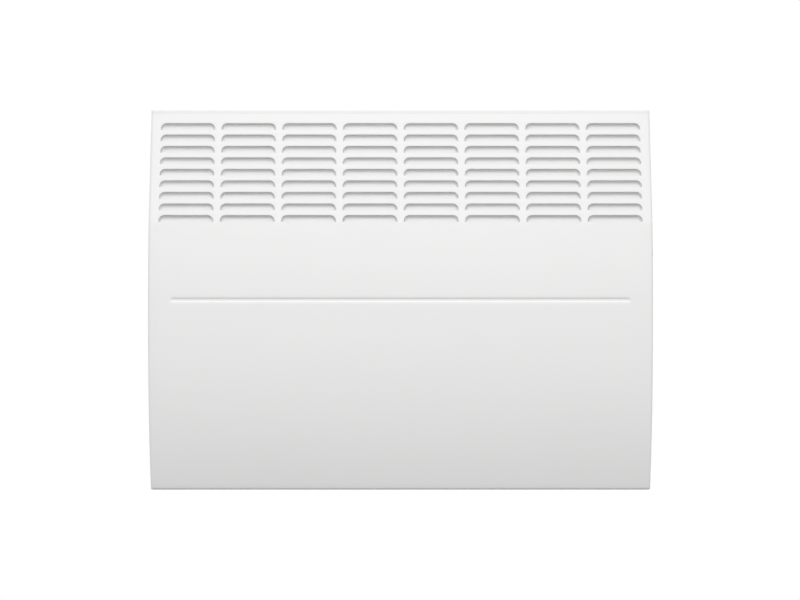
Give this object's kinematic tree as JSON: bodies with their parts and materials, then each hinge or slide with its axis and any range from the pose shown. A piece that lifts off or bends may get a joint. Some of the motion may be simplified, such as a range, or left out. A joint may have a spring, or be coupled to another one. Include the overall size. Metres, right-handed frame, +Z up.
{
  "type": "wall panel convector heater",
  "caption": "White wall-hung panel convector heater: curved steel casing with a louvred outlet, finned element, side thermostat and switch, and a tilt-off wall bracket.",
  "frame": {"origin": "middle of the wall bracket's rear face, on its cross rail, where it lies on the wall", "axes": "+Z up, +X to the right as seen from the room, +Y into the wall; the front of the heater faces -Y"},
  "size_m": [0.595, 0.098, 0.451],
  "materials": {
    "white_enamel": "white epoxy-polyester powder coat, semi-matt",
    "galvanised": "zinc-coated sheet steel",
    "spring_steel": "bright spring steel strip",
    "aluminium": "extruded aluminium",
    "stainless": "stainless steel",
    "ceramic": "glazed ceramic, pale cream",
    "white_plastic": "moulded, fine matt grain",
    "grey_plastic": "moulded, fine matt grain",
    "dark_plastic": "moulded, satin",
    "amber_lens": "clear amber lens",
    "copper": "drawn copper tube",
    "lead_brown": "insulated wire, brown",
    "lead_black": "insulated wire, black",
    "lead_sleeved": "glass-fibre sleeved wire, cream",
    "lead_blue": "insulated wire, blue",
    "lead_green": "insulated wire, green and yellow"
  },
  "bodies": {
    "bracket": {"wall_bracket": "galvanised", "clip_left": "spring_steel", "clip_right": "spring_steel"},
    "heater": {"front_casing": "white_enamel", "back_panel": "galvanised", "inlet_grille": "white_enamel", "heating_element": "aluminium", "element_sheath": "stainless", "element_bush_left": "ceramic", "element_bush_right": "ceramic", "element_hanger_left": "galvanised", "element_hanger_right": "galvanised", "heat_shield": "galvanised", "air_deflector": "galvanised", "control_partition": "galvanised", "overheat_cutout": "dark_plastic", "control_fascia": "grey_plastic", "thermostat_body": "dark_plastic", "capillary_tube": "copper", "sensor_bulb": "copper", "sensor_clip": "galvanised", "rocker_frame": "dark_plastic", "indicator_lens": "amber_lens", "terminal_block": "ceramic", "cable_gland": "dark_plastic", "earth_stud": "stainless", "live_lead": "lead_brown", "switched_lead": "lead_black", "cutout_lead": "lead_black", "element_lead": "lead_sleeved", "neutral_lead": "lead_blue", "earth_lead": "lead_green", "back_screw_1": "stainless", "back_screw_2": "stainless", "back_screw_3": "stainless", "back_screw_4": "stainless", "back_screw_5": "stainless", "back_screw_6": "stainless", "back_screw_7": "stainless", "back_screw_8": "stainless"},
    "knob": {"thermostat_knob": "white_plastic", "thermostat_shaft": "stainless"},
    "rocker": {"rocker_cap": "dark_plastic"}
  },
  "joints": [
    {"name": "tilt_off_wall", "type": "hinge", "parent": "bracket", "child": "heater", "pos_m": [0, -0.0184, -0.1812], "axis": [1, 0, 0], "range_deg": [0, 15]},
    {"name": "thermostat_turn", "type": "hinge", "parent": "heater", "child": "knob", "pos_m": [0.2818, -0.058, 0.0545], "axis": [-1, 0, 0], "range_deg": [-135, 135]},
    {"name": "rocker_press", "type": "hinge", "parent": "heater", "child": "rocker", "pos_m": [0.2813, -0.058, -0.0035], "axis": [0, -1, 0], "range_deg": [0, 18]}
  ]
}
